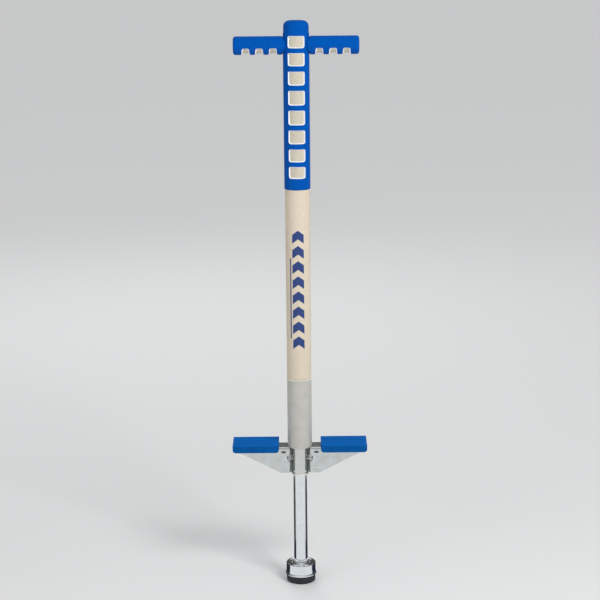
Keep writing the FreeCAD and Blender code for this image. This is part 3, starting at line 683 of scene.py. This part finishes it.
def build_grip(name, side):
    """The blue foam grip and, inside it, the cream core that its windows show."""
    low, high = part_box("right_grip")
    radius = (high.z - low.z) / 2
    bm = lathe([
        (GRIP_HOLLOW, GRIP_START, 0), (radius, GRIP_START, GRIP_INNER_ROUND),
        (radius, high.x, GRIP_END_ROUND), (0, high.x, 0),
        (0, GRIP_HOLLOW_END, 0), (GRIP_HOLLOW, GRIP_HOLLOW_END, 0)])
    corners = lozenge(2 * GRIP_WINDOW_HALF_TURN * radius, GRIP_WINDOW_WIDEST,
                      GRIP_WINDOW_NARROWEST, GRIP_WINDOW_CORNER)
    plugs = []
    for middle in GRIP_WINDOWS:
        plug = window_cutter(corners, GRIP_WINDOW_SLOPE, radius - GRIP_HOLLOW, radius)
        place = Matrix.Translation((0, 0, middle)) @ Matrix.Rotation(pi / 2, 4, "Z")
        plugs.append(moved(plug, place))
    bm = along_bar(cut(bm, joined(plugs)))
    saddle(bm, GRIP_INNER_ROUND)
    bm = on_side(bm, side)
    piece = finished(name + "_foam_grip", bm, "frame", [BLUE_FOAM, CUT_FOAM],
                     [name + "_grip"])

    liner_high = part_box("right_grip_liner")[1]
    core = along_bar(lathe(ring(CORE_INSIDE, CORE_OUTSIDE, GRIP_START, liner_high.x, FOAM_EDGE)))
    saddle(core, FOAM_EDGE)
    core = on_side(core, side)
    # The core, seen through the grip's windows, has the darker cream: painted shade.
    piece = finished(name + "_grip_core", core, "frame", [CREAM_FOAM_PAINTED_SHADE],
                     [name + "_grip_liner"])


def saddle(bm, reach):
    """Shift the inner end, as far out as reach, onto the round of the stem's cover."""
    round_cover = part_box("stem_cover")[1].x + GAP
    for vert in bm.verts:
        if vert.co.x < GRIP_START + reach + TOUCHING:
            onto_round = sqrt(max(0, round_cover ** 2 - vert.co.y ** 2)) - GRIP_START
            vert.co.x += max(0, onto_round)


# The foot brackets and pads.

def verts_of(made):
    return [item for item in made if isinstance(item, bmesh.types.BMVert)]


def fold(bm, edges, centre, axis, angle):
    """Turn edges of a sheet round an axis and return the far edges of the bend."""
    made = bmesh.ops.spin(bm, geom=edges, cent=centre, axis=axis, dvec=(0, 0, 0), angle=angle,
                          steps=BEND_STEPS, use_merge=False, use_duplicate=False)["geom_last"]
    return [item for item in made if isinstance(item, bmesh.types.BMEdge)]


def drawn_out(bm, edges, offset):
    made = bmesh.ops.extrude_edge_only(bm, edges=edges)["geom"]
    bmesh.ops.translate(bm, vec=offset, verts=verts_of(made))


def bracket_sheet():
    """The folded bracket on the right, as its outer skin."""
    low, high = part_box("right_bracket")
    shoulder, relief = high.z - BEND, high.z - BEND - BEND_RELIEF
    turn = FLANGE_REACH.angle(Vector((1, 0)))
    bend_start = BRACKET_INNER + BEND * tan(turn / 2)
    corners = [(bend_start, low.z), (BRACKET_FOOT, low.z), (high.x, BRACKET_TIP),
               (high.x, shoulder), (BRACKET_INNER, shoulder), (BRACKET_INNER, relief),
               (bend_start, relief)]
    bm = bmesh.new()
    verts = [bm.verts.new((x, low.y, z)) for x, z in corners]
    bm.faces.new(verts)
    inner = [bm.edges.get((verts[6], verts[0]))]
    upper = [bm.edges.get((verts[3], verts[4]))]
    bend_axis = (bend_start, low.y + BEND, 0)
    far = fold(bm, inner, bend_axis, (0, 0, 1), -turn)
    length = FLANGE_REACH.length - BEND * tan(turn / 2)
    drawn_out(bm, far, (-length * cos(turn), length * sin(turn), 0))
    far = fold(bm, upper, (0, low.y + BEND, shoulder), (1, 0, 0), -pi / 2)
    drawn_out(bm, far, (0, -(low.y + BEND), 0))
    bmesh.ops.mirror(bm, geom=bm.verts[:] + bm.edges[:] + bm.faces[:], axis="Y", merge_dist=MERGE)
    bmesh.ops.remove_doubles(bm, verts=bm.verts, dist=MERGE)
    bmesh.ops.recalc_face_normals(bm, faces=bm.faces)
    return bm


def slot_plug(z):
    """The plug of a slot with round ends, its middle at this height."""
    almost_round = SLOT_WIDTH / 2 * 0.98
    corners = [(SLOT_X + sx * SLOT_LENGTH / 2, z + sz * SLOT_WIDTH / 2, almost_round)
               for sx, sz in ((-1, -1), (1, -1), (1, 1), (-1, 1))]
    return upright_plug(outline(corners))


def upright_plug(points):
    """A plug of this outline in X and Z, right through the stick from front to back."""
    bm = bmesh.new()
    face = bm.faces.new([bm.verts.new((x, -PLUG_REACH, z)) for x, z in points])
    made = bmesh.ops.extrude_face_region(bm, geom=[face])["geom"]
    bmesh.ops.translate(bm, vec=(0, 2 * PLUG_REACH, 0), verts=verts_of(made))
    bmesh.ops.recalc_face_normals(bm, faces=bm.faces)
    return bm


def build_bracket(name, side):
    skin = as_object(bracket_sheet(), "skin")
    thick = skin.modifiers.new("sheet", "SOLIDIFY")
    thick.thickness = SHEET
    thick.offset = -1
    thick.use_even_offset = True
    bm = applied(skin)
    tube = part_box("frame_tube")[1].x
    guard_low, guard_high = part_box("guard_sleeve")
    well_below, well_above = 0.1, 0.3
    notch_end = BRACKET_INNER + NOTCH_DEPTH
    notch = [(0, NOTCH_LOW, 0), (BRACKET_INNER + NOTCH_DEPTH * 0.5, NOTCH_LOW, 2 * MM),
             (notch_end, NOTCH_HIGH - 3 * MM, 3 * MM), (notch_end, NOTCH_HIGH, 1.4 * MM),
             (0, NOTCH_HIGH, 0)]
    tools = [plain_cylinder(tube + CLOSE_GAP, well_below, well_above),
             upright_plug(outline(notch))]
    tools += [slot_plug(z) for z in SLOT_HEIGHTS]
    tools.append(plain_cylinder(guard_high.x + GAP, guard_low.z - 0.3 * MM, well_above))
    for tool in tools:
        bm = cut(bm, tool)
    # Faces turned inwards between the plates, and the flanges beside the tube, get the darker zinc:
    # painted shade.
    painted(bm, lambda middle, normal: middle.y * normal.y < -1e-4 or middle.x < BRACKET_INNER)
    bm = on_side(bm, side)
    finished(name + "_foot_bracket", bm, "frame", [ZINC, ZINC_PAINTED_SHADE],
             [name + "_bracket"], crease=radians(25))


def weld_bead(start, end, radius, lumps):
    """A lumpy bead from start to end, with round ends."""
    start, end = Vector(start), Vector(end)
    length = (end - start).length
    rings = 12 * lumps
    section = []
    for k in range(rings + 1):
        along = k / rings
        swell = sqrt(max(0, 1 - (2 * along - 1) ** 6))
        lump = 0.8 + 0.25 * abs(sin(pi * lumps * along))
        section.append((radius * swell * lump, length * along, 0))
    bm = lathe(section, steps=24, closed=False)
    towards_end = (end - start).to_track_quat("Z", "Y").to_matrix().to_4x4()
    return moved(bm, Matrix.Translation(start) @ towards_end)


def build_welds(name, side):
    """The flat weld that fills each notch and its bead to the tube, on the front and the back."""
    middle = (NOTCH_LOW + NOTCH_HIGH) / 2
    beads = []
    for facing in (-1, 1):
        patch = weld_bead((WELD_ACROSS, 0, WELD_LOW), (WELD_ACROSS, 0, WELD_HIGH), WELD_RADIUS, 3)
        place = Matrix.Translation((0, facing * WELD_OUT, 0))
        beads.append(moved(patch, place @ Matrix.Diagonal((1, WELD_FLATNESS, 1, 1))))
        start, end = ((across, facing * out, middle) for across, out in BEAD_ENDS)
        beads.append(weld_bead(start, end, BEAD_RADIUS, 2))
    bm = on_side(joined(beads), side)
    finished(name + "_bracket_welds", bm, "frame", [WELD])


def build_pad(name, side):
    low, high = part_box("right_pad")
    bracket_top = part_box("right_bracket")[1].z + GAP
    bm = plain_box(low, high)

    def along(edge, axis):
        return abs((edge.verts[1].co - edge.verts[0].co).normalized()[axis]) > 0.99

    def round_the_top(edge):
        at_top = all(vert.co.z > high.z - TOUCHING for vert in edge.verts)
        return at_top and len(edge.link_faces) == 2 and edge.calc_face_angle() > radians(60)

    bevelled(bm, lambda e: along(e, 1) and e.verts[0].co.z < low.z + TOUCHING, PAD_LOWER_ROUND, 6)
    bevelled(bm, lambda e: along(e, 2) and e.calc_length() > 1 * MM, PAD_UPRIGHT_ROUND, 5)
    bevelled(bm, round_the_top, PAD_TOP_ROUND, 5)
    hollow = plain_box((low.x + PAD_WALL, low.y + PAD_WALL, low.z - 1 * MM),
                       (high.x - PAD_WALL, high.y - PAD_WALL, bracket_top))
    half_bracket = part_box("right_bracket")[1].y + 0.3 * MM
    mouth = plain_box((low.x - 1 * MM, -half_bracket, low.z - 2 * MM),
                      (low.x + 2 * PAD_WALL, half_bracket, bracket_top))
    for tool in (hollow, mouth):
        bm = cut(bm, tool)
    grooves = []
    for number in range(PAD_GROOVES):
        y = -PAD_GROOVE_FIRST + number * PAD_GROOVE_PITCH
        groove = plain_box(
            (low.x + PAD_GROOVE_MARGIN, y - PAD_GROOVE_WIDTH / 2, high.z - PAD_GROOVE_DEPTH),
            (high.x - PAD_GROOVE_MARGIN, y + PAD_GROOVE_WIDTH / 2, high.z + 1 * MM))
        bevelled(groove, lambda e: along(e, 0) and e.verts[0].co.z < high.z, PAD_GROOVE_ROUND, 2)
        grooves.append(groove)
    bm = cut(bm, joined(grooves))
    # The upward faces of the pad's top get the lighter blue: painted light from above.
    painted(bm, lambda middle, normal: normal.z > 0.6 and middle.z > high.z - PAD_TOP_ROUND)
    bm = on_side(bm, side)
    finished(name + "_foot_pad", bm, "frame", [BLUE_PAD, BLUE_PAD_PAINTED_TOP_LIGHT],
             [name + "_pad"])


KEPT = {  # nodes that stay as they are and only get a finish
    "piston_head": ZINC, "piston_pin": ZINC, "thrust_washer": ZINC, "spring_seat_pin": ZINC,
    "handlebar_tube": ZINC, "left_pad_screws": ZINC, "right_pad_screws": ZINC,
    "lower_bushing": WHITE_NYLON, "spring_top_seat": WHITE_NYLON, "rebound_bumper": RUBBER,
    "tube_top_plug": BLACK_PLASTIC, "left_handlebar_plug": BLACK_PLASTIC,
    "right_handlebar_plug": BLACK_PLASTIC,
}

build_foot()
build_shaft()
build_spring()
build_tube()
build_stem_foam()
build_cover()
build_sleeve()
for side_name, side_sign in SIDES:
    build_grip(side_name, side_sign)
    build_bracket(side_name, side_sign)
    build_welds(side_name, side_sign)
    build_pad(side_name, side_sign)
for node_name, node_material in KEPT.items():
    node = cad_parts[node_name]
    node.data.materials.clear()
    node.data.materials.append(node_material)


# The studio: a very wide pale floor, soft lights, and cards that only the bright metal reflects.

FLOOR_RADIUS = 90
FLOOR_GLOW = {"From Min": 0.6, "From Max": 4.0, "To Min": 0.0, "To Max": 0.2}  # by distance
OVERHEAD_GLOW = {"From Min": 0.5, "From Max": 0.85, "To Min": 0.07, "To Max": 1.0}  # by height
PALE = (0.82, 0.82, 0.82, 1)
BRIGHT = (1, 1, 1, 1)
COOL = (0.97, 0.985, 1, 1)
SEEN_SKY = (PALE, 0.93)  # colour and strength, as the camera sees it
MIRRORED_SKY = (BRIGHT, 1.0)  # its strength follows OVERHEAD_GLOW
SHADING_SKY = (COOL, 0.46)
NAVY = (0.012, 0.022, 0.04, 1)
DUSK = (0.075, 0.07, 0.068, 1)
CARD_SPAN = 165  # furthest bearing of the dark cards, in degrees from the front
CARD_GLOW = 0.76
CARDS = (  # rings round the foot: from, to, bearings where the bright and the dark cards end
    ("near", 0.032, 0.17, 84, CARD_SPAN, NAVY),
    ("middle", 0.17, 0.56, 90, CARD_SPAN, DUSK),
    ("far", 0.56, 2.5, 96, 118, DUSK),
)


def flat_material(name, colour, strength=0.0):
    material = bpy.data.materials.new(name)
    material.use_nodes = True
    shader = material.node_tree.nodes["Principled BSDF"]
    shader.inputs["Base Color"].default_value = colour
    shader.inputs["Roughness"].default_value = 0.9
    shader.inputs["Specular IOR Level"].default_value = 0.1
    shader.inputs["Emission Color"].default_value = BRIGHT
    shader.inputs["Emission Strength"].default_value = strength
    return material


def glow_along(tree, value, limits, strength):
    """Feeds a strength socket from a value, between these limits."""
    glow = tree.nodes.new("ShaderNodeMapRange")
    tree.links.new(value, glow.inputs["Value"])
    for socket, limit in limits.items():
        glow.inputs[socket].default_value = limit
    tree.links.new(glow.outputs[0], strength)


def build_floor():
    """The floor glows faintly far off, so that it stays as pale there as near the stick."""
    material = flat_material("floor_pale", PALE)
    tree = material.node_tree
    place = tree.nodes.new("ShaderNodeTexCoord").outputs["Object"]
    distance = tree.nodes.new("ShaderNodeVectorMath")
    distance.operation = "LENGTH"
    tree.links.new(place, distance.inputs[0])
    glow_along(tree, distance.outputs["Value"], FLOOR_GLOW,
               tree.nodes["Principled BSDF"].inputs["Emission Strength"])
    bm = bmesh.new()
    bmesh.ops.create_circle(bm, cap_ends=True, segments=96, radius=FLOOR_RADIUS)
    as_object(bm, "floor", [material])


def reflected_card(name, inner, outer, start, end, colour, strength=0.0):
    """A sector of the floor between two bearings from the front, seen only in reflections."""
    above = 0.0006
    bm = bmesh.new()
    verts = [bm.verts.new((0, -radius, above)) for radius in (inner, outer)]
    edge = bm.edges.new(verts)
    turned = Matrix.Rotation(radians(start), 4, "Z")
    bmesh.ops.transform(bm, matrix=turned, verts=verts)
    bmesh.ops.spin(bm, geom=verts + [edge], cent=(0, 0, 0), axis=(0, 0, 1), dvec=(0, 0, 0),
                   angle=radians(end - start), steps=24, use_merge=False, use_duplicate=False)
    card = as_object(bm, name, [flat_material(name, colour, strength)])
    card.visible_camera = False
    card.visible_diffuse = False
    card.visible_shadow = False


def build_cards():
    for ring_name, inner, outer, turn, last, dark in CARDS:
        reflected_card("bright_card_" + ring_name, inner, outer, -turn, turn, NAVY, CARD_GLOW)
        reflected_card("dark_card_right_" + ring_name, inner, outer, turn, last, dark)
        reflected_card("dark_card_left_" + ring_name, inner, outer, -last, -turn, dark)


LIGHTS = (  # name, place, aim, size, power
    ("key", (1.1, -1.5, 1.9), (0, 0, 0.55), 0.8, 30.5),
    ("fill", (-1.8, -1.8, 1.4), (0, 0, 0.5), 1.2, 8),
    ("back", (-0.4, 2.2, 2.2), (0, 0, 0.5), 1.5, 19),
)


def soft_light(name, place, aim, size, power):
    """A light that shades but isn't mirrored by bright metal."""
    light = bpy.data.lights.new(name, "AREA")
    light.size = size
    light.energy = power
    lamp = bpy.data.objects.new(name, light)
    lamp.location = place
    lamp.rotation_euler = (Vector(aim) - Vector(place)).to_track_quat("-Z", "Y").to_euler()
    lamp.visible_glossy = False
    bpy.context.scene.collection.objects.link(lamp)


def build_world():
    """Pale to the eye and soft for shading; reflections see it bright overhead, dark low down."""
    world = bpy.data.worlds.new("studio")
    world.use_nodes = True
    bpy.context.scene.world = world
    tree = world.node_tree
    tree.nodes.clear()
    path = tree.nodes.new("ShaderNodeLightPath")
    direction = tree.nodes.new("ShaderNodeTexCoord")
    split = tree.nodes.new("ShaderNodeSeparateXYZ")
    tree.links.new(direction.outputs["Generated"], split.inputs[0])
    skies = []
    for colour, strength in (SEEN_SKY, MIRRORED_SKY, SHADING_SKY):
        sky = tree.nodes.new("ShaderNodeBackground")
        sky.inputs["Color"].default_value = colour
        sky.inputs["Strength"].default_value = strength
        skies.append(sky)
    seen, mirrored, shading = skies
    glow_along(tree, split.outputs["Z"], OVERHEAD_GLOW, mirrored.inputs["Strength"])
    shiny = tree.nodes.new("ShaderNodeMixShader")
    tree.links.new(path.outputs["Is Glossy Ray"], shiny.inputs[0])
    tree.links.new(shading.outputs[0], shiny.inputs[1])
    tree.links.new(mirrored.outputs[0], shiny.inputs[2])
    whole = tree.nodes.new("ShaderNodeMixShader")
    tree.links.new(path.outputs["Is Camera Ray"], whole.inputs[0])
    tree.links.new(shiny.outputs[0], whole.inputs[1])
    tree.links.new(seen.outputs[0], whole.inputs[2])
    output = tree.nodes.new("ShaderNodeOutputWorld")
    tree.links.new(whole.outputs[0], output.inputs[0])


CAMERA_BACK = 2.647
CAMERA_HEIGHT = 1.0656
CAMERA_DOWN = radians(12.6)
CAMERA_SIDE = 0.0024
CAMERA_LEAN = radians(0.54)
CAMERA_LENS = 102


def build_camera():
    camera = bpy.data.cameras.new("camera")
    camera.lens = CAMERA_LENS
    camera.sensor_width = 36
    camera.clip_end = 500
    eye = bpy.data.objects.new("camera", camera)
    tilt = Matrix.Rotation(pi / 2 - CAMERA_DOWN, 4, "X")
    eye.matrix_world = (Matrix.Translation((CAMERA_SIDE, -CAMERA_BACK, CAMERA_HEIGHT)) @ tilt
                        @ Matrix.Rotation(-CAMERA_LEAN, 4, "Z"))
    bpy.context.scene.collection.objects.link(eye)
    bpy.context.scene.camera = eye


build_floor()
build_cards()
build_world()
for light_settings in LIGHTS:
    soft_light(*light_settings)
build_camera()
bpy.context.scene.view_settings.view_transform = "Standard"
